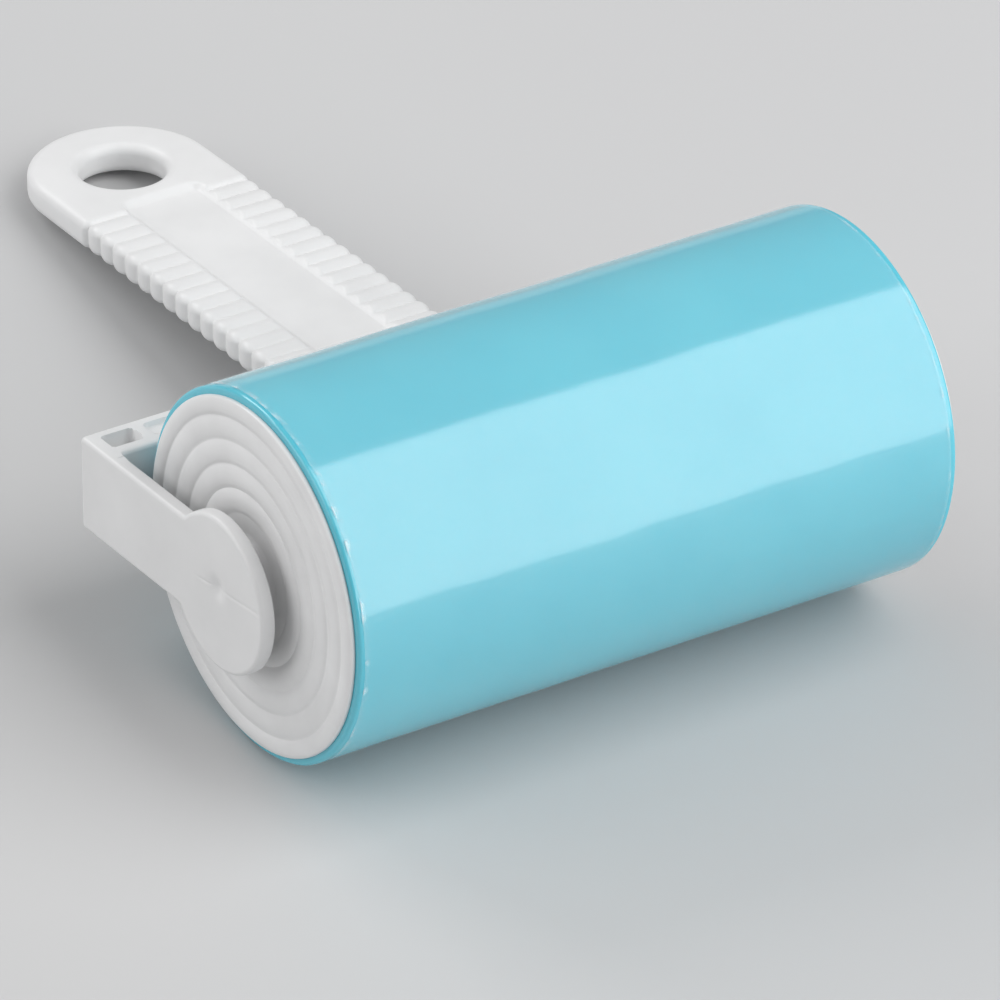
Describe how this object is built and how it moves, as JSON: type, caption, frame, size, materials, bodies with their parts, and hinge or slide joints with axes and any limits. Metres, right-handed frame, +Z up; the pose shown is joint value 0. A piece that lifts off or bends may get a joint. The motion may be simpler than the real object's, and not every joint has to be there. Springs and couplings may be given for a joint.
{
  "type": "lint roller",
  "caption": "Washable lint roller: a white moulded handle and fork with a ribbed grip and hanging eye, and a film-covered tacky gel roller that spins on the fork's pins.",
  "frame": {"origin": "middle of the footprint, on the surface that the roller and the handle's tip stand on", "axes": "+X from the handle to the roller's front, +Y along the roller, +Z up"},
  "size_m": [0.151, 0.1076, 0.053],
  "materials": {
    "white_plastic": "satin injection-moulded white plastic",
    "cap_plastic": "satin injection-moulded white plastic",
    "core_plastic": "matt extruded white plastic",
    "cyan_gel": "glossy translucent cyan tacky gel",
    "clear_film": "thin clear glossy film"
  },
  "bodies": {
    "handle": {"handle_fork": "white_plastic"},
    "roller": {"core_tube": "core_plastic", "gel_sleeve": "cyan_gel", "protective_film": "clear_film", "left_end_cap": "cap_plastic", "right_end_cap": "cap_plastic"}
  },
  "joints": [
    {"name": "roller_spin", "type": "hinge", "parent": "handle", "child": "roller", "pos_m": [0.04901, 0, 0.0265], "axis": [0, 1, 0], "continuous": true}
  ]
}
